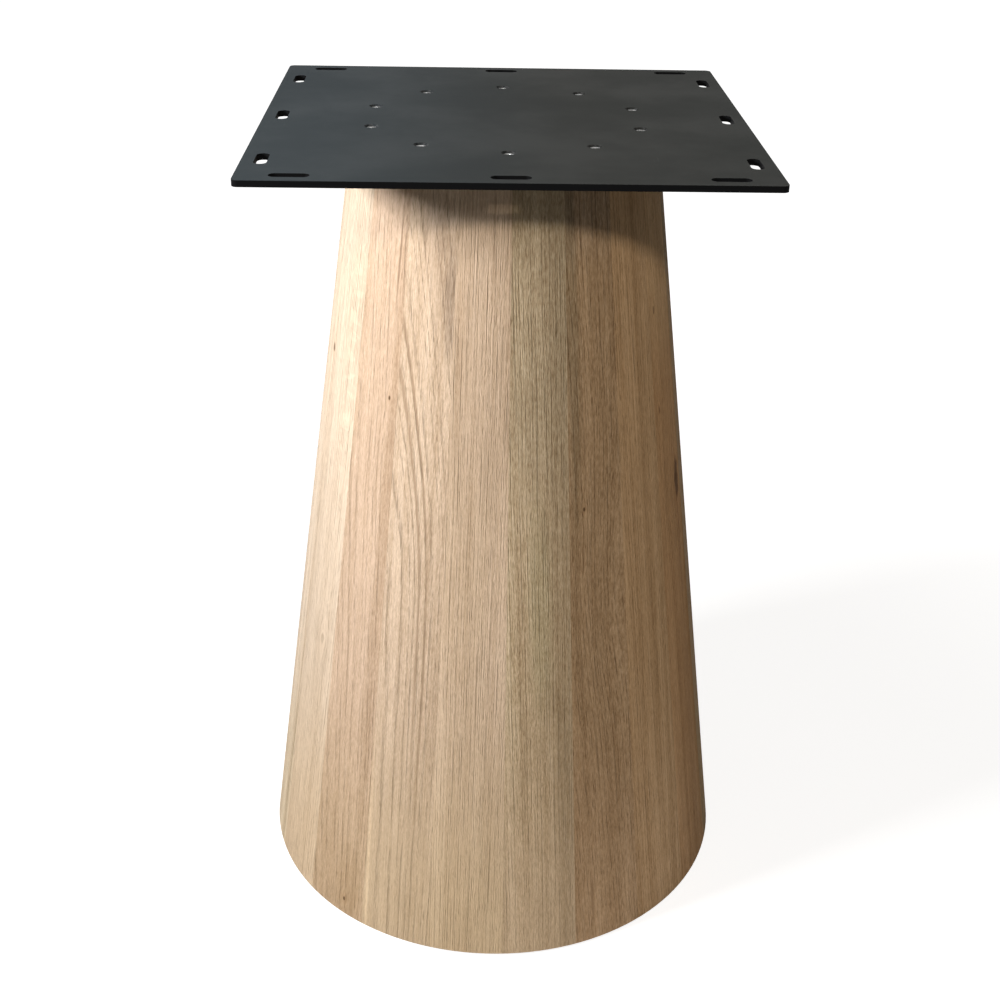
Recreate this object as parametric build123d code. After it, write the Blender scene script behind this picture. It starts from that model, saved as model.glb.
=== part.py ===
from build123d import *
import math
import os

os.makedirs("parts", exist_ok=True)

# All lengths are in millimetres and all angles in degrees.
# The leg stands on the floor at z = 0. Its axis is Z and its front faces -Y.

# Overall
total_height = 720.0
plate_thickness = 5.0
pad_proud = 2.0
plate_bottom = total_height - plate_thickness

# Steel plate
plate_side = 400.0
plate_corner_radius = 5.0
plate_arris = 0.5
slot_length = 30.0
slot_width = 10.0
slot_inset = 15.0
front_slot_pitch = 160.0
side_slot_pitch = 140.0
slot_line = plate_side / 2 - slot_inset

# Cone of wooden staves
stave_count = 20
stave_angle = 360.0 / stave_count
first_seam = 1.3
foot_radius = 225.0
head_radius = 127.5
stave_thickness = 25.0
foot_arris = 1.2
staves_top = plate_bottom
staves_bottom = pad_proud
cone_slope = (foot_radius - head_radius) / (staves_top - staves_bottom)


def outer_radius(z):
    return foot_radius - cone_slope * (z - staves_bottom)


def inner_distance(z):
    """From the axis to the flat inner face of a stave."""
    return outer_radius(z) - stave_thickness


# Discs let into the two ends of the cone, each against a shoulder in the staves
glue_gap = 0.1
disc_thickness = 18.0
base_recess = 3.0
head_shoulder = 4.0
base_shoulder = 10.0
head_seat = staves_top - disc_thickness
base_underside = staves_bottom + base_recess
base_seat = base_underside + disc_thickness
head_rebate_radius = inner_distance(head_seat) + head_shoulder
base_rebate_radius = inner_distance(base_seat) + base_shoulder

# Countersunk wood screws, driven through the plate into the middle of the stave ends
plate_screw_count = 10
plate_screw_circle = head_radius - stave_thickness / 2
plate_hole_radius = 3.25
countersink_radius = 6.0
screw_sides = 20
screw_sunk = 1.0
screw_gap = 0.05
head_land = 0.4
shank_radius = 2.15
screw_length = 50.0
pilot_extra = 2.0
recess_span = 5.0
recess_width = 1.2
recess_depth = 2.0

# Square felt pads glued under the base disc
pad_count = 4
pad_side = 40.0
pad_inset = 45.0
pad_circle = base_rebate_radius - pad_inset

# How far a cutting shape runs past the face that it cuts
overrun = 1.0


def ring_places(count, radius, start):
    """Points on a circle, counted from the front towards +X."""
    step = 360.0 / count
    turns = [math.radians(start + step * i) for i in range(count)]
    return [(radius * math.sin(a), -radius * math.cos(a)) for a in turns]


def disc(radius, bottom, top):
    """A round disc between two heights."""
    return Pos(0, 0, bottom) * extrude(Circle(radius), top - bottom)


def post(radius, bottom, top):
    """A post with many flats between two heights, close to round."""
    return Pos(0, 0, bottom) * extrude(RegularPolygon(radius, screw_sides), top - bottom)


def countersunk_hole():
    """The shape that a drill and a countersink cut through the plate."""
    neck = total_height - (countersink_radius - plate_hole_radius)
    outline = Polyline(
        (0, 0, plate_bottom - overrun),
        (plate_hole_radius, 0, plate_bottom - overrun),
        (plate_hole_radius, 0, neck),
        (countersink_radius + overrun, 0, total_height + overrun),
        (0, 0, total_height + overrun),
        close=True,
    )
    return revolve(make_face(outline), axis=Axis.Z)


def slot_places():
    """Centre and direction of each slot: three along every edge of the plate."""
    places = []
    for step in (-1, 0, 1):
        for side in (-1, 1):
            places.append((step * front_slot_pitch, side * slot_line, 0))
            places.append((side * slot_line, step * side_slot_pitch, 90))
    return places


def mounting_plate():
    outline = RectangleRounded(plate_side, plate_side, plate_corner_radius)
    plate = extrude(outline, plate_thickness)
    plate = chamfer(plate.edges().group_by(Axis.Z)[-1], plate_arris)
    plate = chamfer(plate.edges().group_by(Axis.Z)[0], plate_arris)
    plate = Pos(0, 0, plate_bottom) * plate
    slot = extrude(SlotOverall(slot_length, slot_width), plate_thickness + 2 * overrun)
    for x, y, turn in slot_places():
        plate -= Pos(x, y, plate_bottom - overrun) * Rot(0, 0, turn) * slot
    hole = countersunk_hole()
    for x, y in ring_places(plate_screw_count, plate_screw_circle, 0):
        plate -= Pos(x, y, 0) * hole
    return plate


def plate_screw():
    """A countersunk screw with a cross recess, standing on the leg's axis."""
    top = total_height - screw_sunk
    rim = countersink_radius - screw_sunk - head_land - screw_gap
    sink = (rim - shank_radius) * math.cos(math.pi / screw_sides)
    neck = top - head_land - sink
    head = post(rim, neck, top)
    head = chamfer(head.edges().group_by(Axis.Z)[0], sink)
    shank = post(shank_radius, top - screw_length, neck)
    shank = chamfer(shank.edges().group_by(Axis.Z)[0], shank_radius / 2)
    screw = head + shank
    for turn in (0, 90):
        groove = extrude(Rectangle(recess_span, recess_width), -recess_depth)
        screw -= Pos(0, 0, top) * Rot(0, 0, turn) * groove
    return screw


def stave(number):
    """One tapered stave: round outside, flat inside, cut to radial faces at both seams."""
    start = first_seam + stave_angle * (number - 1)
    core = head_radius / 2
    section = Polyline(
        (core, 0, staves_bottom),
        (foot_radius - foot_arris, 0, staves_bottom),
        (outer_radius(staves_bottom + foot_arris), 0, staves_bottom + foot_arris),
        (head_radius, 0, staves_top),
        (core, 0, staves_top),
        close=True,
    )
    wedge = revolve(make_face(section), axis=Axis.Z, revolution_arc=stave_angle)
    low = staves_bottom - overrun
    high = staves_top + overrun
    hollow = Polyline(
        (0, 0, low),
        (inner_distance(low), 0, low),
        (inner_distance(high), 0, high),
        (0, 0, high),
        close=True,
    )
    piece = Rot(0, 0, -stave_angle / 2) * wedge
    piece -= extrude(make_face(hollow), foot_radius, both=True)
    piece -= disc(head_rebate_radius, head_seat, high)
    piece -= disc(base_rebate_radius, low, base_seat)
    piece = Rot(0, 0, start + stave_angle / 2 - 90) * piece
    pilot = disc(shank_radius + screw_gap, total_height - screw_length - pilot_extra, high)
    spacing = 360.0 / plate_screw_count
    for i, (x, y) in enumerate(ring_places(plate_screw_count, plate_screw_circle, 0)):
        if (spacing * i - start) % 360 < stave_angle:
            piece -= Pos(x, y, 0) * pilot
    return piece


def head_disc():
    return disc(head_rebate_radius - glue_gap, head_seat, staves_top)


def base_disc():
    return disc(base_rebate_radius - glue_gap, base_underside, base_seat)


def write(name, shape):
    export_step(shape, f"parts/{name}.step")


screw = plate_screw()
screw_places = ring_places(plate_screw_count, plate_screw_circle, 0)
write("mounting_plate", mounting_plate())
write("plate_screws", Compound(children=[Pos(x, y, 0) * screw for x, y in screw_places]))
for number in range(1, stave_count + 1):
    write(f"stave_{number:02d}", stave(number))
write("head_disc", head_disc())
write("base_disc", base_disc())
pad = extrude(Rectangle(pad_side, pad_side), base_underside)
pad_names = ("front_right", "back_right", "back_left", "front_left")
for name, (x, y) in zip(pad_names, ring_places(pad_count, pad_circle, 180.0 / pad_count)):
    write(f"felt_pad_{name}", Pos(x, y, 0) * Rot(0, 0, math.degrees(math.atan2(y, x))) * pad)
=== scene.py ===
import math
import random

import bpy
from mathutils import Matrix, Vector


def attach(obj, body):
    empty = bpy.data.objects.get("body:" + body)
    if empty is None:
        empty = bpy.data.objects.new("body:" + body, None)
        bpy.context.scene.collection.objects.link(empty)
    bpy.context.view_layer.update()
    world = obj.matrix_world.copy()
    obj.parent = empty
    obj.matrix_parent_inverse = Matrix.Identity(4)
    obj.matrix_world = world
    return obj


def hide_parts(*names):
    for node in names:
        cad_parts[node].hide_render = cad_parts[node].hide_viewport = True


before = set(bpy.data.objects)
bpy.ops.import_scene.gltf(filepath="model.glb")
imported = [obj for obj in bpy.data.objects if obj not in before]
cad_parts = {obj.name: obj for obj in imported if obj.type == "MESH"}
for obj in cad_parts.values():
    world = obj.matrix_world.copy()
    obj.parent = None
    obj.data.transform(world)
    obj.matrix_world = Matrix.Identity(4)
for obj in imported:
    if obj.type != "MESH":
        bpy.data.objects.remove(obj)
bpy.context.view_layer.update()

print("cad model loaded")

# Working by hand


def letGo():
    bpy.ops.object.select_all(action="DESELECT")


def takeUp(piece):  # the only selected object, and the active one
    letGo()
    piece.select_set(True)
    bpy.context.view_layer.objects.active = piece


def intoEdit(piece, kind):
    takeUp(piece)
    bpy.ops.object.mode_set(mode="EDIT")
    bpy.ops.mesh.select_mode(type=kind)
    bpy.ops.mesh.select_all(action="DESELECT")


def outOfEdit():
    bpy.ops.object.mode_set(mode="OBJECT")


def pick(piece, kind, wanted):  # selects the verts, edges or faces that wanted() names, in their own select mode
    bpy.ops.mesh.select_mode(type=kind)
    bpy.ops.mesh.select_all(action="DESELECT")
    bpy.ops.object.mode_set(mode="OBJECT")
    mesh = piece.data
    for part in {"VERT": mesh.vertices, "EDGE": mesh.edges, "FACE": mesh.polygons}[kind]:
        part.select = wanted(part)
    bpy.ops.object.mode_set(mode="EDIT")


def pickVerts(piece, wanted):  # wanted(place)
    pick(piece, "VERT", lambda vert: wanted(vert.co))


def pickEdges(piece, wanted):  # wanted(end, otherEnd)
    pick(piece, "EDGE", lambda edge: wanted(*(piece.data.vertices[i].co for i in edge.vertices)))


def pickFaces(piece, wanted):  # wanted(centre, normal)
    pick(piece, "FACE", lambda face: wanted(face.center, face.normal))


def settle(piece):  # puts the object's place into its mesh
    takeUp(piece)
    bpy.ops.object.transform_apply(location=True, rotation=True, scale=True)


def newCylinder(cuts, radius, low, high, x=0.0, y=0.0):
    letGo()
    middle = (x, y, (low + high) / 2)
    bpy.ops.mesh.primitive_cylinder_add(vertices=cuts, radius=radius, depth=high - low, location=middle)
    settle(bpy.context.object)
    return bpy.context.object


def newBlock(wide, deep, low, high, y=0.0):
    letGo()
    bpy.ops.mesh.primitive_cube_add(size=1, scale=(wide, deep, high - low), location=(0, y, (low + high) / 2))
    settle(bpy.context.object)
    return bpy.context.object


def carve(piece, cutter):  # cuts one mesh out of another and throws the cutter away
    takeUp(piece)
    cut = piece.modifiers.new("carve", "BOOLEAN")
    cut.operation = "DIFFERENCE"
    cut.solver = "MANIFOLD"
    cut.object = cutter
    bpy.ops.object.modifier_apply(modifier=cut.name)
    bpy.data.objects.remove(cutter)


def softenEdges(piece, width, segments, sharpest):
    takeUp(piece)
    soften = piece.modifiers.new("soften", "BEVEL")
    soften.width = width
    soften.segments = segments
    soften.limit_method = "ANGLE"
    soften.angle_limit = math.radians(sharpest)
    soften.use_clamp_overlap = True
    bpy.ops.object.modifier_apply(modifier=soften.name)


def shadeBy(piece, angle, weighted=False):
    takeUp(piece)
    bpy.ops.object.shade_smooth_by_angle(angle=math.radians(angle))
    if weighted:
        weigh = piece.modifiers.new("weigh", "WEIGHTED_NORMAL")
        weigh.keep_sharp = True
        bpy.ops.object.modifier_apply(modifier=weigh.name)


def copyOf(piece, name, turn=0.0, shift=(0, 0, 0)):  # own mesh, turned about the leg's axis
    twin = piece.copy()
    twin.data = piece.data.copy()
    twin.name = twin.data.name = name
    bpy.context.collection.objects.link(twin)
    twin.matrix_world = Matrix.Rotation(turn, 4, "Z") @ Matrix.Translation(shift)
    settle(twin)
    return twin


def finishPiece(piece, material, slot, *nodes):
    piece.data.materials.clear()
    piece.data.materials.append(material)
    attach(piece, "root")
    if nodes:
        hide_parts(*nodes)


# Working with nodes


def add(tree, kind, **settings):
    node = tree.nodes.new("ShaderNode" + kind)
    for key, value in settings.items():
        setattr(node, key, value)
    return node


def feed(tree, socket, source):  # a socket takes another socket, a number or a colour
    if isinstance(source, bpy.types.NodeSocket):
        tree.links.new(source, socket)
    elif socket.type == "RGBA" and len(source) == 3:
        socket.default_value = (*source, 1)
    else:
        socket.default_value = source


def sums(tree, operation, *sources, clamp=False):
    node = add(tree, "Math", operation=operation, use_clamp=clamp)
    for socket, source in zip(node.inputs, sources):
        feed(tree, socket, source)
    return node.outputs[0]


def times(tree, a, b):
    return sums(tree, "MULTIPLY", a, b)


def plus(tree, a, b):
    return sums(tree, "ADD", a, b)


def minus(tree, a, b):
    return sums(tree, "SUBTRACT", a, b)


def timesPlus(tree, a, b, c, clamp=False):
    return sums(tree, "MULTIPLY_ADD", a, b, c, clamp=clamp)


def farOff(tree, a, b):  # the distance that two legs at right angles make
    return sums(tree, "SQRT", plus(tree, times(tree, a, a), times(tree, b, b)))


def vectorSums(tree, operation, *sources):
    node = add(tree, "VectorMath", operation=operation)
    for socket, source in zip(node.inputs, sources):
        feed(tree, socket, source)
    return node.outputs["Value"] if operation in ("LENGTH", "DOT_PRODUCT") else node.outputs["Vector"]


def parts(tree, vector):  # its X, Y and Z
    node = add(tree, "SeparateXYZ")
    feed(tree, node.inputs[0], vector)
    return node.outputs


def turned(tree, vector, rotation, scale=(1, 1, 1)):
    node = add(tree, "Mapping")
    node.inputs["Rotation"].default_value = rotation
    node.inputs["Scale"].default_value = scale
    feed(tree, node.inputs["Vector"], vector)
    return node.outputs[0]


def ease(tree, value, low, high, lowOut=0.0, highOut=1.0):  # smooth step between two values
    node = add(tree, "MapRange", interpolation_type="SMOOTHSTEP")
    labels = ("Value", "From Min", "From Max", "To Min", "To Max")
    for label, source in zip(labels, (value, low, high, lowOut, highOut)):
        feed(tree, node.inputs[label], source)
    return node.outputs["Result"]


def blend(tree, mask, colourA, colourB, how="MIX"):
    node = add(tree, "Mix", data_type="RGBA", blend_type=how)
    feed(tree, node.inputs[0], mask)
    feed(tree, node.inputs[6], colourA)
    feed(tree, node.inputs[7], colourB)
    return node.outputs[2]


def speckle(tree, vector, scale, detail=2.0, roughness=0.5, distortion=0.0):
    node = add(tree, "TexNoise")
    labels = ("Vector", "Scale", "Detail", "Roughness", "Distortion")
    for label, source in zip(labels, (vector, scale, detail, roughness, distortion)):
        feed(tree, node.inputs[label], source)
    return node.outputs["Fac"]


def startGroup(name, inputs, outputs):
    group = bpy.data.node_groups.new(name, "ShaderNodeTree")
    kinds = {float: "NodeSocketFloat", tuple: "NodeSocketColor", Vector: "NodeSocketVector"}
    for label, value in inputs.items():
        socket = group.interface.new_socket(name=label, in_out="INPUT", socket_type=kinds[type(value)])
        socket.default_value = (*value, 1) if type(value) is tuple else value
    for label, kind in outputs.items():
        group.interface.new_socket(name=label, in_out="OUTPUT", socket_type=kinds[kind])
    return group, group.nodes.new("NodeGroupInput").outputs, group.nodes.new("NodeGroupOutput").inputs


def putGroup(tree, group, **values):  # crossGrain="..." goes to the input named "Cross Grain"
    node = tree.nodes.new("ShaderNodeGroup")
    node.node_tree = group
    for key, source in values.items():
        label = "".join(" " + c if c.isupper() else c for c in key)
        feed(tree, node.inputs[label[0].upper() + label[1:]], source)
    return node.outputs


def startMaterial(name):
    material = bpy.data.materials.new(name)
    material.use_nodes = True
    tree = material.node_tree
    shader = next(n for n in tree.nodes if n.type == "BSDF_PRINCIPLED")
    return material, tree, shader


def bumpy(tree, shader, height, depth, strength=1.0):
    bump = add(tree, "Bump")
    bump.inputs["Strength"].default_value = strength
    bump.inputs["Distance"].default_value = depth
    feed(tree, bump.inputs["Height"], height)
    tree.links.new(bump.outputs["Normal"], shader.inputs["Normal"])


# Shared effects


# Bends the grain round one place of a board and gives the knot's own mask.
def makeKnotGroup():
    tree, give, take = startGroup(
        "knotInBoard",
        {"Vector": Vector(), "Across": 0.0, "Along": 0.0, "Wide": 0.01, "Long": 0.02, "Pull": 0.8},
        {"Vector": Vector, "Core": float, "Halo": float},
    )
    split = parts(tree, give["Vector"])
    aside = minus(tree, split["X"], give["Across"])
    above = minus(tree, split["Z"], give["Along"])
    ragged = times(tree, minus(tree, speckle(tree, give["Vector"], 140.0, 2.0), 0.5), 0.7)
    far = farOff(tree, sums(tree, "DIVIDE", aside, give["Wide"]), sums(tree, "DIVIDE", above, give["Long"]))
    near = sums(tree, "EXPONENT", times(tree, times(tree, far, far), -0.22))
    bent = times(tree, aside, times(tree, near, give["Pull"]))
    join = add(tree, "CombineXYZ")
    feed(tree, join.inputs["X"], minus(tree, split["X"], bent))
    feed(tree, join.inputs["Y"], split["Y"])
    feed(tree, join.inputs["Z"], split["Z"])
    feed(tree, take["Vector"], join.outputs[0])
    feed(tree, take["Core"], ease(tree, plus(tree, far, ragged), 1.0, 0.45))
    feed(tree, take["Halo"], near)
    return tree


# Growth rings round the heart of the log, pores, fibre and slow tone, from board coordinates in metres.
def makeGrainGroup():
    tree, give, take = startGroup(
        "oakGrain",
        {
            "Vector": Vector(),
            "Seed": 0.0,
            "Heart Across": 0.0,
            "Heart Depth": 0.08,
            "Ring Width": 0.003,
            "Rise": 0.05,
            "Rise From": -1.0,
            "Wander": 0.004,
            "Wander Scale": 12.0,
            "Dark Ring": 0.0,
            "Dark Ring Wide": 0.001,
            "Dark Ring Apart": 0.0,
        },
        dict.fromkeys(("Rings", "Pores", "Fibre", "Mottle", "Slow", "Figure", "Dark"), float),
    )
    away = add(tree, "CombineXYZ")
    feed(tree, away.inputs["X"], times(tree, give["Seed"], 1.37))
    feed(tree, away.inputs["Y"], times(tree, give["Seed"], 0.61))
    feed(tree, away.inputs["Z"], times(tree, give["Seed"], 2.93))
    moved = vectorSums(tree, "ADD", give["Vector"], away.outputs[0])  # other noise for each seed

    def stretched(along):  # noise space in which the board's length is shrunk
        return vectorSums(tree, "MULTIPLY", moved, (1.0, 1.0, along))

    wave = minus(tree, speckle(tree, stretched(0.3), give["Wander Scale"], 2.5), 0.5)
    ripple = minus(tree, speckle(tree, stretched(0.1), 90.0, 2.0), 0.5)
    split = parts(tree, give["Vector"])
    aside = minus(tree, split["X"], give["Heart Across"])
    deep = minus(tree, split["Y"], give["Heart Depth"])
    far = farOff(tree, aside, deep)  # from the heart, and so the age of the wood
    above = minus(tree, split["Z"], give["Rise From"])
    above = plus(tree, above, sums(tree, "SQRT", timesPlus(tree, above, above, 0.003)))
    far = timesPlus(tree, times(tree, above, 0.5), give["Rise"], far)
    far = timesPlus(tree, wave, give["Wander"], far)
    far = timesPlus(tree, ripple, 0.0014, far)
    aside = sums(tree, "ABSOLUTE", minus(tree, far, give["Dark Ring"]))
    aside = sums(tree, "ABSOLUTE", minus(tree, aside, times(tree, give["Dark Ring Apart"], 0.5)))
    darkRing = ease(tree, sums(tree, "DIVIDE", aside, give["Dark Ring Wide"]), 1.0, 0.2)
    count = sums(tree, "DIVIDE", far, give["Ring Width"])
    uneven = add(tree, "TexNoise", noise_dimensions="1D")
    feed(tree, uneven.inputs["W"], count)
    uneven.inputs["Scale"].default_value = 0.33
    uneven.inputs["Detail"].default_value = 1.0
    count = timesPlus(tree, uneven.outputs["Fac"], 2.2, count)
    phase = sums(tree, "FRACT", count)
    early = sums(tree, "MAXIMUM", ease(tree, phase, 0.34, 0.0), ease(tree, phase, 0.9, 1.0))
    chance = add(tree, "TexWhiteNoise", noise_dimensions="1D")
    feed(tree, chance.inputs["W"], sums(tree, "FLOOR", plus(tree, count, 0.07)))
    weight = timesPlus(tree, sums(tree, "POWER", chance.outputs["Value"], 1.8), 0.75, 0.25)
    # fibre at three sizes
    strokes = speckle(tree, stretched(0.009), 1350.0, 1.0, 0.5)
    middles = speckle(tree, stretched(0.009), 600.0, 2.0, 0.6)
    longs = speckle(tree, stretched(0.015), 85.0, 2.0, 0.6)
    broken = ease(tree, strokes, 0.35, 0.55, 0.5, 1.0)
    rings = times(tree, times(tree, early, weight), broken)
    coarse = ease(tree, strokes, 0.54, 0.68)
    fine = ease(tree, speckle(tree, stretched(0.04), 2200.0, 1.0), 0.52, 0.7)
    openIn = timesPlus(tree, early, 0.6, 0.35)
    pores = sums(tree, "MAXIMUM", coarse, times(tree, fine, 0.7))
    feed(tree, take["Rings"], rings)
    feed(tree, take["Dark"], times(tree, darkRing, ease(tree, middles, 0.3, 0.55, 0.35, 1.0)))
    feed(tree, take["Pores"], sums(tree, "MULTIPLY", pores, openIn, clamp=True))
    fibre = timesPlus(tree, longs, 0.42, times(tree, middles, 0.33))
    feed(tree, take["Fibre"], timesPlus(tree, strokes, 0.25, fibre))
    flecks = speckle(tree, stretched(0.2), 900.0, 2.0, 0.65)
    clouds = speckle(tree, stretched(0.5), 80.0, 3.0, 0.6)
    feed(tree, take["Mottle"], timesPlus(tree, clouds, 0.25, times(tree, flecks, 0.75)))
    feed(tree, take["Slow"], speckle(tree, stretched(0.18), 22.0, 2.0))
    bands = vectorSums(tree, "MULTIPLY", moved, (0.35, 0.35, 1.0))
    feed(tree, take["Figure"], speckle(tree, bands, 150.0, 1.0, 0.4, 0.5))
    return tree


# Turns the grain masks into colour, roughness and height.
def makeOakColourGroup():
    tree, give, take = startGroup(
        "oakColour",
        {
            "Rings": 0.0,
            "Pores": 0.0,
            "Fibre": 0.5,
            "Mottle": 0.5,
            "Slow": 0.5,
            "Wood": (0.5, 0.38, 0.24),
            "Line": (0.34, 0.23, 0.13),
            "Pore": (0.2, 0.13, 0.075),
            "Rings Strength": 0.5,
            "Pores Strength": 0.6,
            "Fibre Strength": 0.25,
            "Mottle Strength": 0.2,
            "Slow Strength": 0.2,
        },
        {"Colour": tuple, "Roughness": float, "Height": float},
    )
    lined = blend(tree, times(tree, give["Rings"], give["Rings Strength"]), give["Wood"], give["Line"])
    fibre = minus(tree, give["Fibre"], 0.5)
    slow = minus(tree, give["Slow"], 0.5)
    tone = timesPlus(tree, fibre, give["Fibre Strength"], 1.0)
    tone = timesPlus(tree, slow, give["Slow Strength"], tone)
    tone = timesPlus(tree, minus(tree, give["Mottle"], 0.5), give["Mottle Strength"], tone)
    warm = add(tree, "CombineXYZ")  # darker fibre is warmer too
    for label, power in (("X", 0.85), ("Y", 1.0), ("Z", 1.2)):
        feed(tree, warm.inputs[label], sums(tree, "POWER", tone, power))
    toned = vectorSums(tree, "MULTIPLY", lined, warm.outputs[0])
    pitted = times(tree, give["Pores"], give["Pores Strength"])
    feed(tree, take["Colour"], blend(tree, pitted, toned, give["Pore"]))
    rough = timesPlus(tree, give["Rings"], 0.08, 0.62)
    rough = timesPlus(tree, fibre, 0.25, rough)
    feed(tree, take["Roughness"], timesPlus(tree, give["Pores"], 0.15, rough, clamp=True))
    height = timesPlus(tree, give["Pores"], -1.0, times(tree, give["Rings"], -0.35))
    height = timesPlus(tree, minus(tree, give["Mottle"], 0.5), 1.2, height)
    feed(tree, take["Height"], timesPlus(tree, fibre, 1.5, height))
    return tree


# A soft ragged patch at one place of a board, for stains and streaks, and for painted light and shade on some
# boards.
def makePatchGroup():
    tree, give, take = startGroup(
        "boardPatch",
        {"Vector": Vector(), "Across": 0.0, "Along": 0.0, "Wide": 0.01, "Long": 0.1, "Ragged": 0.4},
        {"Mask": float},
    )
    split = parts(tree, give["Vector"])
    aside = sums(tree, "DIVIDE", minus(tree, split["X"], give["Across"]), give["Wide"])
    above = sums(tree, "DIVIDE", minus(tree, split["Z"], give["Along"]), give["Long"])
    far = farOff(tree, aside, above)
    torn = speckle(tree, vectorSums(tree, "MULTIPLY", give["Vector"], (1.0, 1.0, 0.06)), 260.0, 3.0, 0.6)
    far = timesPlus(tree, minus(tree, torn, 0.5), give["Ragged"], far)
    feed(tree, take["Mask"], ease(tree, far, 1.1, 0.3))
    return tree


# The glue line between two staves, from the leg's own coordinates.
def makeSeamGroup():
    tree, give, take = startGroup(
        "seamLine", {"Vector": Vector(), "First Seam": 0.0, "Stave Angle": 18.0, "Wide": 0.0005}, {"Mask": float}
    )
    split = parts(tree, give["Vector"])
    front = times(tree, split["Y"], -1.0)
    turn = sums(tree, "DEGREES", sums(tree, "ARCTAN2", split["X"], front))
    turn = plus(tree, minus(tree, turn, give["First Seam"]), 360.0)
    share = sums(tree, "FRACT", sums(tree, "DIVIDE", turn, give["Stave Angle"]))
    nearest = sums(tree, "MINIMUM", share, minus(tree, 1.0, share))
    radius = farOff(tree, split["X"], front)
    gap = times(tree, times(tree, sums(tree, "RADIANS", give["Stave Angle"]), nearest), radius)
    shrunk = vectorSums(tree, "MULTIPLY", give["Vector"], (1.0, 1.0, 0.3))
    broken = ease(tree, speckle(tree, shrunk, 40.0, 2.0), 0.35, 0.6)
    feed(tree, take["Mask"], times(tree, ease(tree, gap, give["Wide"], 0.0), broken))
    return tree


# Handling marks on a painted face: cloudy wiping marks and rare fine scratches.
def makeSmudgeGroup():
    tree, give, take = startGroup(
        "handlingMarks",
        {"Vector": Vector(), "Cloud Scale": 7.0, "Scratch Scale": 60.0},
        {"Clouds": float, "Scratches": float},
    )
    clouds = speckle(tree, give["Vector"], give["Cloud Scale"], 5.0, 0.6)
    feed(tree, take["Clouds"], ease(tree, clouds, 0.35, 0.68))
    strokes = turned(tree, give["Vector"], (0, 0, 0.5), (1, 0.03, 1))
    lines = speckle(tree, strokes, times(tree, give["Scratch Scale"], 10.0), 1.0)
    rare = ease(tree, speckle(tree, give["Vector"], give["Scratch Scale"], 2.0), 0.6, 0.75)
    feed(tree, take["Scratches"], times(tree, ease(tree, lines, 0.69, 0.76), rare))
    return tree


# How far a point is from the nearest hole of a ring of holes.
def makeHoleRingGroup():
    tree, give, take = startGroup(
        "holeRing", {"Vector": Vector(), "Count": 10.0, "Circle": 0.1}, {"Distance": float}
    )
    split = parts(tree, give["Vector"])
    front = times(tree, split["Y"], -1.0)
    turns = sums(tree, "DIVIDE", sums(tree, "ARCTAN2", split["X"], front), 2 * math.pi)
    share = times(tree, plus(tree, turns, 1.0), give["Count"])
    aside = minus(tree, share, sums(tree, "ROUND", share))
    aside = times(tree, sums(tree, "DIVIDE", aside, give["Count"]), 2 * math.pi)
    radius = farOff(tree, split["X"], front)
    across = times(tree, radius, sums(tree, "SINE", aside))
    along = minus(tree, times(tree, radius, sums(tree, "COSINE", aside)), give["Circle"])
    feed(tree, take["Distance"], farOff(tree, across, along))
    return tree


knotInBoard = makeKnotGroup()
oakGrain = makeGrainGroup()
oakColour = makeOakColourGroup()
boardPatch = makePatchGroup()
seamLine = makeSeamGroup()
handlingMarks = makeSmudgeGroup()
holeRing = makeHoleRingGroup()
print("shared node groups built")

# The staves

staveShape = {
    "count": 20,
    "firstSeam": 1.3,  # degrees from the front towards +X
    "foot": 0.22475,
    "head": 0.1275,
    "low": 0.002,
    "high": 0.715,
    "wall": 0.025,
    "headRebate": (0.10896, 0.697),  # radius and where it starts
    "baseRebate": (0.20713, 0.023),
    "footArris": 0.0012,
    "headArris": 0.0004,
    "seamEase": 0.00005,
    "roundCuts": 140,  # flats on the whole turned cone
    "rebateCuts": 280,
    "pilotCuts": 16,
    "over": 0.01,  # how far a cutter runs past the wood
    "screwCircle": 0.115,
    "pilot": 0.0022,
    "pilotEnd": 0.668,
    "screws": 10,
}


def coneRadius(z):
    s = staveShape
    return s["foot"] + (s["head"] - s["foot"]) * (z - s["low"]) / (s["high"] - s["low"])


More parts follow.
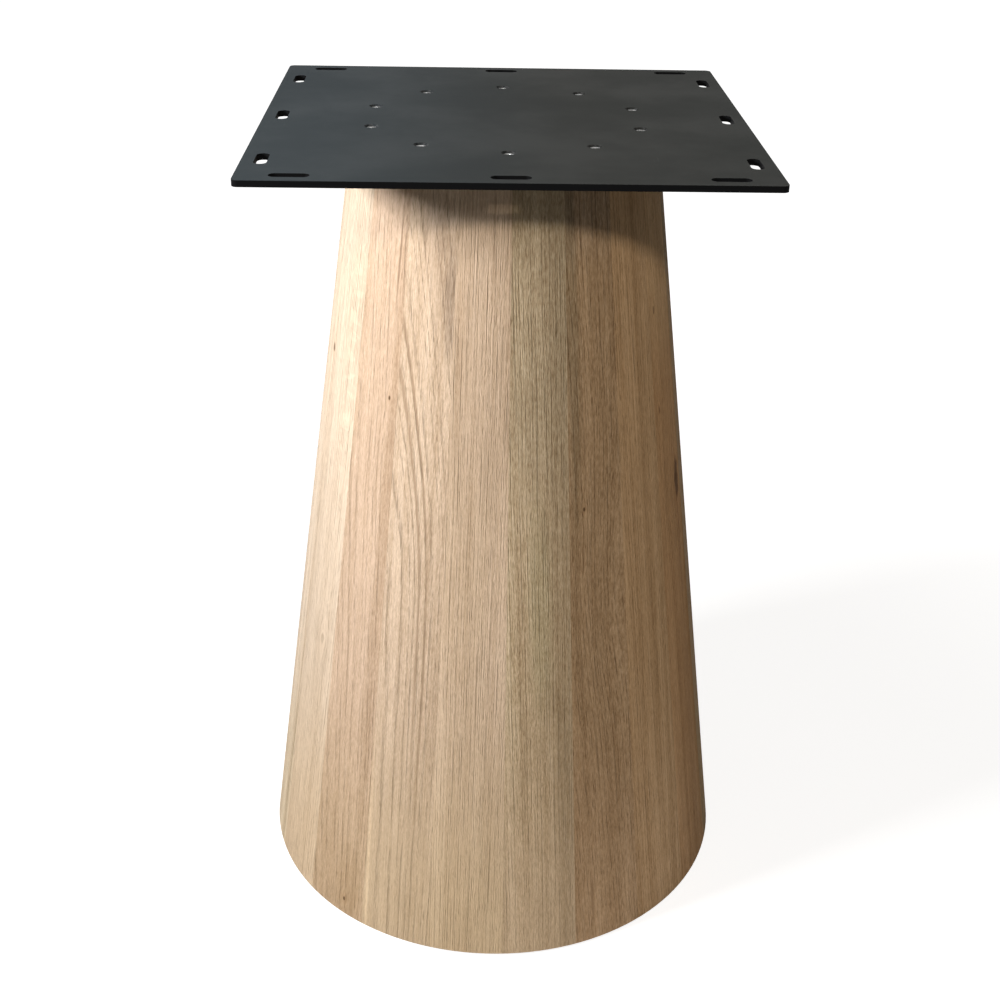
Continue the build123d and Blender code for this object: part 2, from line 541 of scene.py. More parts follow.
# One stave at the front: a slice of the turned cone with a flat back and both rebates.
def modelStave():
    s = staveShape
    letGo()
    tall = s["high"] - s["low"]
    middle = (0, 0, s["low"] + tall / 2)
    bpy.ops.mesh.primitive_cone_add(
        vertices=s["roundCuts"], radius1=s["foot"], radius2=s["head"], depth=tall, location=middle
    )
    stave = bpy.context.object
    settle(stave)
    half = math.pi / s["count"]
    slope = (s["foot"] - s["head"]) / tall

    def saw(place, away):  # leaves what lies behind the plane
        intoEdit(stave, "FACE")
        bpy.ops.mesh.select_all(action="SELECT")
        bpy.ops.mesh.bisect(plane_co=place, plane_no=away, use_fill=True, clear_outer=True, threshold=1e-6)

    for side in (-1, 1):  # the two mitred faces
        saw((0, 0, 0), (side * math.cos(half), math.sin(half), 0))
        outOfEdit()
    saw((0, s["wall"] - s["foot"], s["low"]), (0, 1, -slope))  # the flat back
    bpy.ops.mesh.remove_doubles(threshold=1e-6)
    bpy.ops.mesh.normals_make_consistent(inside=False)

    def onOuterSeam(p):
        return abs(abs(math.atan2(p.x, -p.y)) - half) < 1e-4 and p.xy.length > coneRadius(p.z) - 0.0016

    def onOuterRim(p, level):
        return abs(p.z - level) < 1e-5 and p.xy.length > coneRadius(level) * 0.99

    pickEdges(stave, lambda a, b: onOuterSeam(a) and onOuterSeam(b))
    bpy.ops.mesh.bevel(offset=s["seamEase"], segments=1, affect="EDGES")
    for level, arris, cuts in ((s["low"], s["footArris"], 3), (s["high"], s["headArris"], 1)):
        pickEdges(stave, lambda a, b: onOuterRim(a, level) and onOuterRim(b, level))
        bpy.ops.mesh.bevel(offset=arris, segments=cuts, affect="EDGES")
    outOfEdit()
    radius, start = s["headRebate"]
    carve(stave, newCylinder(s["rebateCuts"], radius, start, s["high"] + s["over"]))
    radius, stop = s["baseRebate"]
    carve(stave, newCylinder(s["rebateCuts"], radius, s["low"] - s["over"], stop))
    return stave


# The screw hole of a stave that a plate screw goes into.
def drillPilot(stave, number):
    s = staveShape
    span = 360 / s["count"]
    start = s["firstSeam"] + span * (number - 1)
    for i in range(s["screws"]):
        turn = 360 / s["screws"] * i
        if (turn - start) % 360 < span:
            a = math.radians(turn)
            x, y = s["screwCircle"] * math.sin(a), -s["screwCircle"] * math.cos(a)
            carve(stave, newCylinder(s["pilotCuts"], s["pilot"], s["pilotEnd"], s["high"] + s["over"], x, y))


# What each board looks like. Colours are linear.
# Places on a board are in mm: across from its middle, and up from the foot.
plainBoard = {
    "wood": (0.54, 0.41, 0.26),
    "line": (0.36, 0.25, 0.14),
    "rings": 0.65,
    "pores": 0.5,
    "fibre": 1.8,
    "mottle": 0.6,
    "slow": 0.4,
    "ringWidth": 2.8,
    "heart": (160, 40),  # where the log's middle lies: across, and behind the face
    "rise": 0.01,
    "riseFrom": -1000,  # height from which the rings close in
    "wander": 5,
    "wanderScale": 9,
    "lean": 0.0,  # degrees that the grain runs off the board's middle line
    "foot": (1.0, 0.995, 0.91),  # what the tone is multiplied by at the foot; where it brightens the foot, on boards 1 to 4, it is painted light
    "calm": 1.0,  # how much of the grain's contrast is left at the foot
    "darkRing": (0, 1, 0),  # distance from the heart, half width, and gap if it is double
    "figure": None,  # across, up, half width, half length, strength of the wavy silver figure
    "knots": [],  # across, up, half width, half length, pull, darkness
    "patches": [],  # across, up, half width, half length, ragged, colour, strength
}
boards = {
    17: {"wood": (0.72, 0.575, 0.425), "line": (0.5, 0.36, 0.22), "foot": (1.05, 1.01, 0.92), "rings": 0.35,
        "pores": 0.3, "fibre": 0.9, "mottle": 0.5, "wander": 9, "wanderScale": 7,
        "figure": (12, 530, 13, 150, 0.4), "knots": [(9, 267, 4, 7, 0.9, 0.3)]},
    18: {"wood": (0.61, 0.445, 0.31), "line": (0.38, 0.25, 0.155), "rings": 0.15, "pores": 0.3, "fibre": 1.3,
        "mottle": 1.0, "slow": 0.3, "ringWidth": 3.2, "heart": (-40, 70), "rise": 0.03, "wander": 9,
        "darkRing": (90, 0.45, 7), "knots": [(16, 521, 1.3, 2.4, 0.9, 0.9), (12, 17, 2, 3, 0.9, 0.8)],
        "patches": [(16, 30, 20, 60, 0.5, (0.42, 0.28, 0.16), 0.35),
                    (15, 640, 1.2, 70, 1.6, (0.24, 0.15, 0.09), 0.7)]},
    19: {"wood": (0.655, 0.50, 0.355), "line": (0.31, 0.205, 0.125), "calm": 0.6, "rings": 0.35, "pores": 0.3,
        "fibre": 1.4, "mottle": 1.1, "slow": 0.3, "ringWidth": 3.4, "heart": (-30, 50), "rise": 0.092,
        "riseFrom": 390, "wander": 3, "darkRing": (65.5, 1.0, 4.0),
        "patches": [(20, 608, 9, 58, 0.25, (0.425, 0.318, 0.224), 1.0),
                    (12, 642, 11, 60, 0.3, (0.51, 0.38, 0.266), 0.75),
                    (2, 668, 12, 50, 0.3, (0.53, 0.395, 0.278), 0.7),
                    (-30.5, 70, 2.5, 170, 0.5, (0.86, 0.67, 0.48), 0.9)]},
    20: {"wood": (0.675, 0.515, 0.36), "line": (0.44, 0.3, 0.18), "calm": 0.7, "rings": 0.3, "pores": 0.25,
        "fibre": 1.4, "mottle": 0.8, "slow": 0.3, "ringWidth": 2.4, "heart": (190, 25), "wander": 3,
        "patches": [(0, 600, 60, 230, 0.3, (0.58, 0.435, 0.305), 0.9),
                    (20, 340, 14, 160, 0.5, (0.78, 0.605, 0.44), 0.7)]},
    # board 1: its brighter foot multiplier is painted light
    1: {"wood": (0.565, 0.43, 0.275), "line": (0.36, 0.255, 0.145), "foot": (1.05, 1.05, 1.09), "calm": 0.6,
        "rings": 0.4, "pores": 0.45, "fibre": 1.7, "mottle": 1.7, "slow": 0.2, "ringWidth": 3,
        "heart": (150, 30), "wander": 5, "lean": 1.2,
        "patches": [(-26, 500, 1.8, 230, 1.2, (0.22, 0.145, 0.08), 0.8),
                    (-19, 330, 8, 220, 0.4, (0.68, 0.54, 0.36), 0.7),
                    (8, 345, 14, 120, 0.6, (0.47, 0.40, 0.24), 0.5),
                    # painted light: this broad patch lightens the foot
                    (0, 0, 60, 260, 0.3, (0.67, 0.51, 0.325), 0.9),
                    # painted shade: this broad patch darkens the top, under the plate
                    (6, 640, 60, 270, 0.3, (0.475, 0.375, 0.245), 0.9),
                    (27, 350, 12, 500, 0.4, (0.48, 0.36, 0.225), 0.8)]},
    # board 2: its brighter foot multiplier is painted light
    2: {"wood": (0.495, 0.335, 0.195), "line": (0.27, 0.165, 0.085), "foot": (1.07, 1.06, 1.08), "calm": 0.75,
        "rings": 0.5, "fibre": 1.7, "mottle": 1.9, "slow": 0.1, "ringWidth": 2.6, "heart": (-70, 60),
        "rise": 0.03, "wander": 18, "wanderScale": 9,
        "knots": [(-12.5, 433, 1.4, 2.6, 0.9, 0.9), (33, 330, 18, 50, 0.7, 0.0)],
        "patches": [(-18, 600, 8, 260, 0.25, (0.36, 0.262, 0.157), 0.85),
                    (-16.5, 46, 2, 35, 0.7, (0.25, 0.15, 0.08), 0.6),
                    # painted light: this broad patch lightens the foot
                    (0, 0, 60, 160, 0.3, (0.55, 0.38, 0.225), 0.9),
                    # painted shade: this broad patch darkens the top, under the plate
                    (0, 700, 60, 70, 0.3, (0.40, 0.28, 0.175), 0.9)]},
    # board 3: its brighter foot multiplier is painted light
    3: {"wood": (0.56, 0.37, 0.205), "line": (0.36, 0.215, 0.105), "foot": (1.05, 1.05, 1.08), "rings": 0.5,
        "pores": 0.35, "fibre": 2.0, "mottle": 1.1, "slow": 0.2, "ringWidth": 3.2, "heart": (-200, 20),
        "wander": 3,
        # painted light: this broad patch lightens the foot
        "patches": [(0, 0, 60, 260, 0.3, (0.61, 0.415, 0.235), 0.9)]},
    # board 4: its brighter, bluer foot multiplier is painted light
    4: {"wood": (0.525, 0.32, 0.165), "line": (0.34, 0.195, 0.095), "foot": (1.07, 1.1, 1.16), "rings": 0.5,
        "fibre": 1.9, "mottle": 1.0, "heart": (-120, 60), "wander": 6,
        "knots": [(-15, 583, 1.8, 5, 0.9, 0.6), (-16, 494, 1.6, 5, 0.9, 0.6), (14, 417, 8, 26, 0.9, 0.85)],
        "patches": [(0, 640, 60, 130, 0.3, (0.60, 0.40, 0.22), 0.9),
                    # painted shade: this patch darkens the right-hand edge, towards the shaded side of the leg
                    (28, 350, 11, 500, 0.3, (0.42, 0.24, 0.105), 0.9)]},
    5: {"wood": (0.40, 0.28, 0.17), "heart": (10, 55), "rise": 0.07, "wander": 9},
    6: {"wood": (0.52, 0.385, 0.24), "heart": (210, 30)},
    7: {"wood": (0.50, 0.38, 0.24), "heart": (-20, 60), "rise": 0.07, "wander": 8,
        "knots": [(8, 300, 2, 4, 0.9, 0.8)]},
    8: {"wood": (0.47, 0.34, 0.2), "heart": (-180, 30)},
    9: {"wood": (0.57, 0.44, 0.29), "heart": (120, 60), "wander": 7, "figure": (-6, 300, 14, 150, 0.3)},
    10: {"wood": (0.51, 0.38, 0.23), "heart": (5, 48), "rise": 0.08, "wander": 6},
    11: {"wood": (0.47, 0.335, 0.2), "ringWidth": 2.6, "heart": (170, 20)},
    12: {"wood": (0.54, 0.38, 0.24), "heart": (-60, 70), "rise": 0.04, "wander": 10,
        "knots": [(-10, 560, 2, 5, 0.9, 0.7)]},
    13: {"wood": (0.58, 0.45, 0.3), "ringWidth": 2.6, "heart": (-210, 20)},
    14: {"wood": (0.46, 0.33, 0.2), "heart": (20, 42), "rise": 0.09, "wander": 7},
    15: {"wood": (0.53, 0.39, 0.25), "heart": (140, 40), "lean": -1.0},
    16: {"wood": (0.75, 0.60, 0.445), "heart": (60, 60), "rise": 0.03, "wander": 8,
        "knots": [(20, 536, 3, 6, 0.9, 0.8)]},
}


# Mapping from the leg's coordinates to the board's: x across, y into the wood, z up along the outer face.
def boardSpace(tree, number, lean):
    s = staveShape
    middle = math.radians(s["firstSeam"] + 360 / s["count"] * (number - 0.5))
    slope = math.atan((s["foot"] - s["head"]) / (s["high"] - s["low"]))
    tilt = Matrix.Rotation(math.radians(lean), 3, "Y") @ Matrix.Rotation(slope, 3, "X")
    coords = add(tree, "TexCoord")
    mapping = add(tree, "Mapping")
    mapping.inputs["Rotation"].default_value = (tilt @ Matrix.Rotation(-middle, 3, "Z")).to_euler("XYZ")
    mapping.inputs["Location"].default_value = tilt @ Vector((0, s["foot"], -s["low"]))
    feed(tree, mapping.inputs["Vector"], coords.outputs["Object"])
    return coords.outputs["Object"], mapping.outputs[0]


def boardPlace(place):  # a place on a board, as the groups take it
    return dict(zip(("across", "along", "wide", "long"), (mm / 1000 for mm in place)))


def masksOf(grain):
    return {label.lower(): grain[label] for label in ("Rings", "Pores", "Fibre", "Mottle", "Slow")}


oakFinish = {
    "specular": 0.01,
    "relief": 0.0006,
    "poreTone": 0.8,  # of the ring lines' colour
    "silverTone": 1.25,  # of the wood's colour
    "halo": (0.72, 0.62, 0.52),
    "knot": (0.11, 0.062, 0.032),
    "seam": (0.2, 0.13, 0.07),
    "seamWidth": 0.0005,
}


def makeOak(number):
    board = {**plainBoard, **boards[number]}
    f = oakFinish
    material, tree, shader = startMaterial(f"oakBoard{number:02d}")
    legSpace, space = boardSpace(tree, number, board["lean"])
    height = parts(tree, legSpace)
    calm = ease(tree, height["Z"], 0.3, 0.06, 1.0, board["calm"])
    knots = []
    for *place, pull, dark in board["knots"]:
        knot = putGroup(tree, knotInBoard, vector=space, pull=pull, **boardPlace(place))
        knots.append((knot, dark))
        space = knot["Vector"]
    heart, dark = board["heart"], board["darkRing"]
    lengths = {
        "heartAcross": heart[0], "heartDepth": heart[1], "darkRing": dark[0], "darkRingWide": dark[1],
        "darkRingApart": dark[2], **{key: board[key] for key in ("ringWidth", "riseFrom", "wander")},
    }
    grain = putGroup(
        tree, oakGrain, vector=space, seed=float(number), rise=board["rise"],
        wanderScale=float(board["wanderScale"]), **{key: mm / 1000 for key, mm in lengths.items()},
    )
    strengths = {key + "Strength": times(tree, calm, board[key]) for key in ("rings", "pores", "fibre", "mottle")}
    look = putGroup(
        tree, oakColour, wood=board["wood"], line=board["line"], slowStrength=board["slow"],
        pore=tuple(f["poreTone"] * c for c in board["line"]), **masksOf(grain), **strengths,
    )
    dark = times(tree, grain["Dark"], ease(tree, height["Z"], 0.03, 0.36, 0.2, 0.7))
    colour = blend(tree, dark, look["Colour"], board["line"])
    if board["figure"]:
        *place, strength = board["figure"]
        where = putGroup(tree, boardPatch, vector=space, ragged=0.5, **boardPlace(place))
        silver = times(tree, times(tree, where["Mask"], strength), ease(tree, grain["Figure"], 0.45, 0.6))
        colour = blend(tree, silver, colour, tuple(min(1.0, f["silverTone"] * c) for c in board["wood"]))
    # patches: stains and streaks, and on boards 1, 2, 3 and 4 also painted light and shade
    for *place, ragged, patchTone, strength in board["patches"]:
        patch = putGroup(tree, boardPatch, vector=space, ragged=ragged, **boardPlace(place))
        shade = tuple(s / w for s, w in zip(patchTone, board["wood"]))
        colour = blend(tree, times(tree, patch["Mask"], strength), colour, shade, "MULTIPLY")
    for knot, dark in knots:
        colour = blend(tree, times(tree, knot["Halo"], 0.35 * dark), colour, f["halo"], "MULTIPLY")
        colour = blend(tree, times(tree, knot["Core"], dark), colour, f["knot"])
    # the foot's tone; on boards 1 to 4 it brightens the foot, which is painted light
    colour = blend(tree, ease(tree, height["Z"], 0.28, 0.03), colour, board["foot"], "MULTIPLY")
    seam = putGroup(
        tree, seamLine, vector=legSpace, firstSeam=staveShape["firstSeam"], staveAngle=360 / staveShape["count"],
        wide=f["seamWidth"],
    )
    colour = blend(tree, times(tree, seam["Mask"], 0.1), colour, f["seam"])
    feed(tree, shader.inputs["Base Color"], colour)
    feed(tree, shader.inputs["Roughness"], look["Roughness"])
    shader.inputs["Specular IOR Level"].default_value = f["specular"]
    bumpy(tree, shader, look["Height"], f["relief"])
    return material


firstStave = modelStave()
for number in range(1, staveShape["count"] + 1):
    middle = math.radians(staveShape["firstSeam"] + 360 / staveShape["count"] * (number - 0.5))
    stave = copyOf(firstStave, f"oakStave{number:02d}", middle)
    drillPilot(stave, number)
    shadeBy(stave, 22)
    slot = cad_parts[f"stave_{number:02d}"].data.materials[0].name
    finishPiece(stave, makeOak(number), slot, f"stave_{number:02d}")
bpy.data.objects.remove(firstStave)
print("staves done")

# The steel plate

plateShape = {
    "side": 0.4,
    "low": 0.715,
    "high": 0.72,
    "corner": 0.005,
    "slotLength": 0.03,
    "slotWidth": 0.01,
    "slotLine": 0.185,
    "frontPitch": 0.16,
    "sidePitch": 0.14,
    "holeCircle": 0.115,
    "hole": 0.00325,
    "sink": 0.006,
    "holes": 10,
    "edge": 0.0004,
    "cornerCuts": 8,
    "slotCuts": 40,
    "holeCuts": 48,
    "over": 0.001,  # how far a cutter runs past the steel
}


# A cylinder pulled apart along its slot.
def slotCutter(x, y, turn):
    p = plateShape
    cutter = newCylinder(p["slotCuts"], p["slotWidth"] / 2, p["low"] - p["over"], p["high"] + p["over"])
    pull = (p["slotLength"] - p["slotWidth"]) / 2
    for side in (-1, 1):
        intoEdit(cutter, "VERT")
        pickVerts(cutter, lambda v: v.x * side > 1e-5)
        bpy.ops.transform.translate(value=(side * pull, 0, 0))
        outOfEdit()
    cutter.rotation_euler.z = math.radians(turn)
    cutter.location = (x, y, 0)
    settle(cutter)
    return cutter


# A drill with a countersink above it.
def holeCutter(x, y):
    p = plateShape
    neck = p["high"] - (p["sink"] - p["hole"])
    cutter = newCylinder(p["holeCuts"], p["hole"], p["low"] - p["over"], neck)
    intoEdit(cutter, "FACE")
    pickFaces(cutter, lambda centre, normal: normal.z > 0.9)
    bpy.ops.mesh.extrude_region_move(TRANSFORM_OT_translate={"value": (0, 0, p["high"] - neck + p["over"])})
    grow = (p["sink"] + p["over"]) / p["hole"]
    bpy.ops.transform.resize(value=(grow, grow, 1))
    outOfEdit()
    cutter.location = (x, y, 0)
    settle(cutter)
    return cutter


def modelPlate():
    p = plateShape
    plate = newBlock(p["side"], p["side"], p["low"], p["high"])
    plate.name = plate.data.name = "steelPlate"
    intoEdit(plate, "EDGE")
    pickEdges(plate, lambda a, b: abs(a.z - b.z) > 0.001)
    bpy.ops.mesh.bevel(offset=p["corner"], segments=p["cornerCuts"], affect="EDGES")
    outOfEdit()
    cutters = []
    for step in (-1, 0, 1):
        for side in (-1, 1):
            cutters.append(slotCutter(step * p["frontPitch"], side * p["slotLine"], 0))
            cutters.append(slotCutter(side * p["slotLine"], step * p["sidePitch"], 90))
    for i in range(p["holes"]):
        a = 2 * math.pi * i / p["holes"]
        cutters.append(holeCutter(p["holeCircle"] * math.sin(a), -p["holeCircle"] * math.cos(a)))
    letGo()
    for cutter in cutters:
        cutter.select_set(True)
    bpy.context.view_layer.objects.active = cutters[0]
    bpy.ops.object.join()
    carve(plate, cutters[0])
    softenEdges(plate, p["edge"], 2, 30)
    shadeBy(plate, 35, weighted=True)
    return plate


plateFinish = {
    "paint": (0.046, 0.056, 0.061),
    "wiped": (0.041, 0.051, 0.056),
    "oiled": (0.70, 0.60, 0.50),  # painted shade: the share of the tone that is left on the right-hand part, which is darker
    "shadedRightFrom": (-0.18, 0.08),
    "scratch": (0.09, 0.095, 0.1),
    # painted shade: the upright faces get a far darker copy of the paint
    "edges": (0.004, 0.0042, 0.0045),
    "bare": (0.12, 0.12, 0.12),  # the rubbed countersinks
    "roughness": 0.62,
    "specular": 0.055,
    "relief": 0.00004,
}


def makePlatePaint():
    p = plateFinish
    material, tree, shader = startMaterial("blackPlatePaint")
    coords = add(tree, "TexCoord").outputs["Object"]
    marks = putGroup(tree, handlingMarks, vector=coords, cloudScale=7.0, scratchScale=60.0)
    colour = blend(tree, marks["Clouds"], p["wiped"], p["paint"])
    split = parts(tree, coords)
    # painted shade: the right-hand part of the plate is darkened towards +X
    colour = blend(tree, ease(tree, split["X"], *p["shadedRightFrom"]), colour, p["oiled"], "MULTIPLY")
    colour = blend(tree, times(tree, marks["Scratches"], 0.35), colour, p["scratch"])
    # painted shade: faces that are not flat take the darker edge colour
    facing = parts(tree, add(tree, "NewGeometry").outputs["Normal"])
    flat = ease(tree, sums(tree, "ABSOLUTE", facing["Z"]), 0.35, 0.9)
    colour = blend(tree, flat, p["edges"], colour)
    s = plateShape
    ring = putGroup(tree, holeRing, vector=coords, count=float(s["holes"]), circle=s["holeCircle"])
    near = ease(tree, ring["Distance"], s["sink"] + 0.0004, s["sink"])
    sunk = times(tree, near, minus(tree, 1.0, flat))
    rubbed = ease(tree, speckle(tree, coords, 420.0, 2.0), 0.42, 0.62)  # where the screws were driven in
    bare = times(tree, sunk, rubbed)
    # painted shade: the countersink walls are darkened further with the edge colour
    colour = blend(tree, sunk, colour, p["edges"])
    feed(tree, shader.inputs["Base Color"], blend(tree, bare, colour, p["bare"]))
    feed(tree, shader.inputs["Metallic"], times(tree, bare, 0.3))
    rough = timesPlus(tree, marks["Clouds"], -0.1, p["roughness"] + 0.05)
    grit = speckle(tree, coords, 1400.0, 2.0)
    feed(tree, shader.inputs["Roughness"], timesPlus(tree, grit, 0.08, rough, clamp=True))
    feed(tree, shader.inputs["Specular IOR Level"], ease(tree, flat, 0.0, 1.0, 0.03, p["specular"]))
    skin = timesPlus(tree, speckle(tree, coords, 520.0, 2.0), 0.7, times(tree, grit, 0.3))
    bumpy(tree, shader, skin, p["relief"], 0.7)
    return material


steelPlate = modelPlate()
finishPiece(steelPlate, makePlatePaint(), "black_steel", "mounting_plate")
print("plate done")

# The plate screws

screwShape = {
    "top": 0.7186,
    "head": 0.00415,
    "land": 0.0004,
    "shank": 0.00215,
    "sink": 0.002,
    "length": 0.0496,
    "point": 0.006,
    "crossSpan": 0.005,
    "crossWidth": 0.0012,
    "crossDepth": 0.002,
    "edge": 0.00008,
    "sides": 40,
    "circle": 0.115,
    "count": 10,
}


# A countersunk wood screw on the leg's axis: head, cone, shank and point drawn down from one disc.
def modelScrew():
    s = screwShape
    screw = newCylinder(s["sides"], s["head"], s["top"] - s["land"], s["top"])
    intoEdit(screw, "FACE")
    pickFaces(screw, lambda centre, normal: normal.z < -0.9)
    thin = s["shank"] / s["head"]
    straight = s["length"] - s["land"] - s["sink"] - s["point"]
    for drop, shrink in ((s["sink"], thin), (straight, 1.0), (s["point"], 0.15)):
        bpy.ops.mesh.extrude_region_move(TRANSFORM_OT_translate={"value": (0, 0, -drop)})
        bpy.ops.transform.resize(value=(shrink, shrink, 1))
    outOfEdit()
    for turn in (0, 90):  # the cross recess, narrower at its bottom
        cutter = newBlock(s["crossSpan"], s["crossWidth"], s["top"] - s["crossDepth"], s["top"] + s["crossDepth"])
        cutter.rotation_euler.z = math.radians(turn)
        settle(cutter)
        intoEdit(cutter, "FACE")
        pickFaces(cutter, lambda centre, normal: normal.z < -0.9)
        bpy.ops.transform.resize(value=(0.5, 0.7, 1) if turn == 0 else (0.7, 0.5, 1))
        outOfEdit()
        carve(screw, cutter)
    softenEdges(screw, s["edge"], 2, 28)
    shadeBy(screw, 30, weighted=True)
    return screw


zincFinish = {
    "bright": (0.85, 0.86, 0.87),
    "dull": (0.2, 0.2, 0.19),
    # grime and painted shade in the cross recess
    "grime": (0.015, 0.015, 0.015),
    "metallic": 0.5,
    "relief": 0.00003,
}


def makeZinc():
    f = zincFinish
    material, tree, shader = startMaterial("zincScrewSteel")
    coords = add(tree, "TexCoord").outputs["Object"]
    brush = speckle(tree, turned(tree, coords, (0, 0, 0.6), (1, 0.15, 1)), 2600.0, 3.0, 0.6)
    spots = speckle(tree, coords, 420.0, 3.0, 0.6)
    split = parts(tree, coords)
    top = screwShape["top"]
    deep = ease(tree, split["Z"], top - 0.0001, top - 0.0008)  # grime and painted shade down in the recess
    zinc = blend(tree, ease(tree, spots, 0.42, 0.56), f["bright"], f["dull"])
    feed(tree, shader.inputs["Base Color"], blend(tree, deep, zinc, f["grime"]))
    rough = timesPlus(tree, brush, 0.2, 0.2)
    feed(tree, shader.inputs["Roughness"], timesPlus(tree, spots, 0.12, rough, clamp=True))
    shader.inputs["Metallic"].default_value = f["metallic"]
    bumpy(tree, shader, brush, f["relief"], 0.6)
    return material


firstScrew = modelScrew()
dice = random.Random(7)
screws = []
for i in range(screwShape["count"]):
    turn = 2 * math.pi * i / screwShape["count"]
    screw = copyOf(firstScrew, f"plateScrew{i + 1}", dice.uniform(0, math.pi))
    screws.append(copyOf(screw, f"plateScrew{i + 1}placed", turn, (0, -screwShape["circle"], 0)))
    bpy.data.objects.remove(screw)
bpy.data.objects.remove(firstScrew)
letGo()
for screw in screws:
    screw.select_set(True)
bpy.context.view_layer.objects.active = screws[0]
bpy.ops.object.join()
plateScrews = screws[0]
plateScrews.name = plateScrews.data.name = "plateScrews"
finishPiece(plateScrews, makeZinc(), "zinc_steel", "plate_screws")
print("screws done")

# Felt pads

padShape = {
    "side": 0.0396,
    "low": 0.00005,
    "high": 0.005,
    "corner": 0.003,
    "inset": 0.0035,
    "rim": 0.0007,
    "circle": 0.16213,
    "fuzz": 0.00012,
}


# A pressed felt pad at the front, with cut corners worn round and a slightly uneven skin.
def modelPad():
    p = padShape
    pad = newBlock(p["side"], p["side"], p["low"], p["high"], -p["circle"])
    intoEdit(pad, "EDGE")
    pickEdges(pad, lambda a, b: abs(a.z - b.z) > 0.001)
    bpy.ops.mesh.bevel(offset=p["corner"], segments=5, affect="EDGES")
    pickFaces(pad, lambda centre, normal: abs(normal.z) > 0.9)
    bpy.ops.mesh.inset(thickness=p["inset"], depth=0)
    bpy.ops.mesh.subdivide(number_cuts=3)
    outOfEdit()
    softenEdges(pad, p["rim"], 3, 40)
    intoEdit(pad, "VERT")
    pickVerts(pad, lambda v: p["low"] + 0.0002 < v.z < p["high"] - 0.0002)
    bpy.ops.transform.vertex_random(offset=p["fuzz"], seed=4)
    outOfEdit()
    shadeBy(pad, 50)
    return pad


feltFinish = {
    "ground": (0.05, 0.045, 0.04),
    "strand": (0.13, 0.12, 0.105),
    "clump": (0.08, 0.072, 0.064),
    "sheen": 0.25,
    "relief": 0.0003,
}


def makeFelt():
    f = feltFinish
    material, tree, shader = startMaterial("darkFelt")
    coords = add(tree, "TexCoord").outputs["Object"]
    strands = None
    for turn, scale in ((0.3, 900.0), (1.4, 1100.0), (2.5, 1000.0)):  # fibres lie in three directions
        lay = turned(tree, coords, (0.2, 0.1, turn), (1, 0.12, 1))
        layer = ease(tree, speckle(tree, lay, scale, 2.0), 0.5, 0.68)
        strands = layer if strands is None else sums(tree, "MAXIMUM", strands, layer)
    clumps = speckle(tree, coords, 160.0, 3.0)
    colour = blend(tree, strands, f["ground"], f["strand"])
    colour = blend(tree, ease(tree, clumps, 0.4, 0.65), colour, f["clump"])
    feed(tree, shader.inputs["Base Color"], colour)
    feed(tree, shader.inputs["Roughness"], timesPlus(tree, strands, -0.08, 0.97))
    shader.inputs["Sheen Weight"].default_value = f["sheen"]
    bumpy(tree, shader, plus(tree, strands, clumps), f["relief"], 0.8)
    return material


firstPad = modelPad()
darkFelt = makeFelt()
for i, place in enumerate(("front_right", "back_right", "back_left", "front_left")):
    pad = copyOf(firstPad, "feltPad_" + place, math.radians(45 + 90 * i))
    finishPiece(pad, darkFelt, "felt", "felt_pad_" + place)
bpy.data.objects.remove(firstPad)
print("felt pads done")

# Plywood discs, as the CAD has them

plywoodFinish = {
    "wood": (0.6, 0.47, 0.31),
    "line": (0.46, 0.33, 0.2),
    "pore": (0.4, 0.28, 0.17),
    "layers": ((0.58, 0.44, 0.28), (0.36, 0.25, 0.15)),  # the light and the dark ones on its edge
    "pair": 0.0028,  # thickness of two layers
    "relief": 0.00015,
}


def makePlywood():
    f = plywoodFinish
    material, tree, shader = startMaterial("birchPlywood")
    coords = add(tree, "TexCoord").outputs["Object"]
    along = turned(tree, coords, (math.pi / 2, 0, 0))  # the face veneer's grain runs from front to back
    grain = putGroup(
        tree, oakGrain, vector=along, seed=41.0, heartAcross=0.1, heartDepth=0.35, ringWidth=0.008, rise=0.02,
        wander=0.03, wanderScale=4.0,
    )
    look = putGroup(
        tree, oakColour, wood=f["wood"], line=f["line"], pore=f["pore"], ringsStrength=0.5, poresStrength=0.25,
        fibreStrength=0.2, slowStrength=0.2, **masksOf(grain),
    )
    split = parts(tree, coords)
    layer = sums(tree, "FRACT", sums(tree, "DIVIDE", split["Z"], f["pair"]))
    dark = ease(tree, sums(tree, "ABSOLUTE", minus(tree, layer, 0.5)), 0.2, 0.3)
    edge = blend(tree, dark, *f["layers"])
    facing = parts(tree, add(tree, "NewGeometry").outputs["Normal"])
    flat = ease(tree, sums(tree, "ABSOLUTE", facing["Z"]), 0.4, 0.6)
    feed(tree, shader.inputs["Base Color"], blend(tree, flat, edge, look["Colour"]))
    feed(tree, shader.inputs["Roughness"], look["Roughness"])
    bumpy(tree, shader, look["Height"], f["relief"], 0.6)
    return material


birchPlywood = makePlywood()
for name in ("head_disc", "base_disc"):
    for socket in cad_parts[name].material_slots:
        socket.material = birchPlywood
print("plywood discs done")

# Floor, light and camera

light = {
    "window": {
        "place": (-1.27, -0.59, 1.13), "aim": (0, 0, 1.45), "side": 0.35, "power": 38,
        "colour": (0.99, 0.99, 1.02),
    },
    "front": {
        "place": (0.35, -4.9, 3.95), "aim": (0, 0, 0.4), "side": 0.55, "power": 130,
        "colour": (1.0, 0.9, 0.78),
    },
    "ambient": 0.075,
    "paper": ((0.5, 0.5, 0.5), (0.54, 0.54, 0.54)),  # the floor's two tones
}
view = {
    "place": (-0.03277, -1.22516, 1.00640),
    "yaw": -1.5996,
    "down": 27.8315,
    "roll": 1.0705,
    "lens": 52.617,
}


def whiteToCamera(tree):  # the rays that see the background itself
    path = add(tree, "LightPath")
    seen = sums(tree, "MAXIMUM", path.outputs["Is Camera Ray"], path.outputs["Is Glossy Ray"])
    return sums(tree, "MAXIMUM", seen, path.outputs["Is Transmission Ray"])


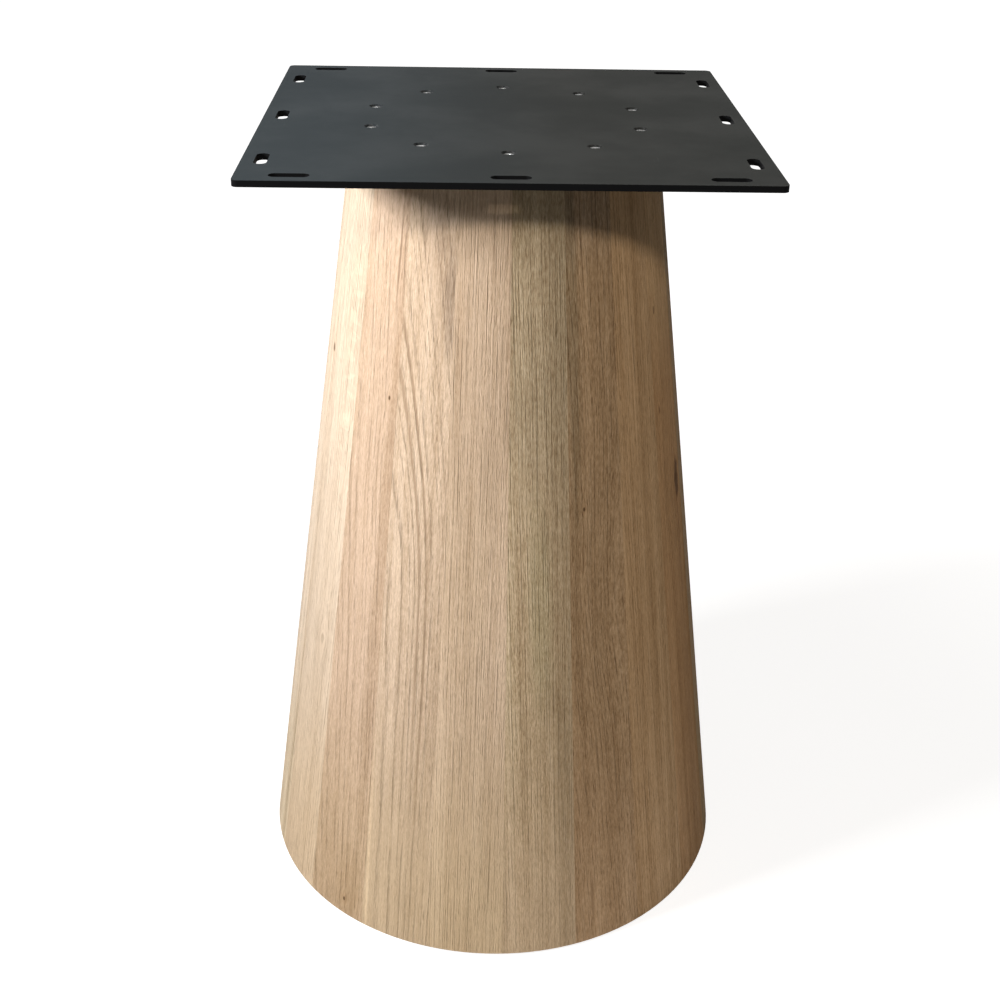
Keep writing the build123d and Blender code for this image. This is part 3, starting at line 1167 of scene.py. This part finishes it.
def makeFloor():
    letGo()
    bpy.ops.mesh.primitive_plane_add(size=14, location=(0, 0, 0))
    floor = bpy.context.object
    floor.name = "paleFloor"
    intoEdit(floor, "FACE")
    bpy.ops.mesh.select_all(action="SELECT")
    bpy.ops.mesh.subdivide(number_cuts=3)
    outOfEdit()
    material, tree, shader = startMaterial("palePaper")
    coords = add(tree, "TexCoord").outputs["Object"]
    cloudy = speckle(tree, coords, 2.0, 3.0)
    feed(tree, shader.inputs["Base Color"], blend(tree, cloudy, *light["paper"]))
    shader.inputs["Roughness"].default_value = 0.9
    shader.inputs["Specular IOR Level"].default_value = 0.1
    shader.inputs["Emission Color"].default_value = (1, 1, 1, 1)
    far = vectorSums(tree, "LENGTH", coords)
    glow = times(tree, whiteToCamera(tree), ease(tree, far, 0.5, 1.5, 0.8, 1.0))
    feed(tree, shader.inputs["Emission Strength"], glow)
    floor.data.materials.append(material)


def makeLamp(name, facts):
    bpy.ops.object.light_add(type="AREA", location=facts["place"])
    lamp = bpy.context.object
    lamp.name = name
    lamp.rotation_euler = (Vector(facts["aim"]) - Vector(facts["place"])).to_track_quat("-Z", "Y").to_euler()
    lamp.data.shape = "SQUARE"
    lamp.data.size = facts["side"]
    lamp.data.energy = facts["power"]
    lamp.data.color = facts["colour"]


def makeWorld():
    world = bpy.data.worlds.new("softRoom")
    bpy.context.scene.world = world
    world.use_nodes = True
    tree = world.node_tree
    back = next(n for n in tree.nodes if n.type == "BACKGROUND")
    back.inputs["Color"].default_value = (1, 1, 1, 1)
    feed(tree, back.inputs["Strength"], ease(tree, whiteToCamera(tree), 0.0, 1.0, light["ambient"], 1.0))


def makeCamera():
    bpy.ops.object.camera_add()
    camera = bpy.context.object
    camera.name = "photoView"
    camera.data.sensor_width = 36
    camera.data.lens = view["lens"]
    turn = Matrix.Rotation(math.radians(view["yaw"]), 4, "Z")
    tip = Matrix.Rotation(math.radians(90 - view["down"]), 4, "X")
    roll = Matrix.Rotation(math.radians(view["roll"]), 4, "Z")
    camera.matrix_world = Matrix.Translation(view["place"]) @ turn @ tip @ roll
    bpy.context.scene.camera = camera


makeFloor()
makeLamp("windowLight", light["window"])
makeLamp("frontLight", light["front"])
makeWorld()
makeCamera()
bpy.context.scene.view_settings.view_transform = "Standard"
letGo()
print("floor, light and camera done")
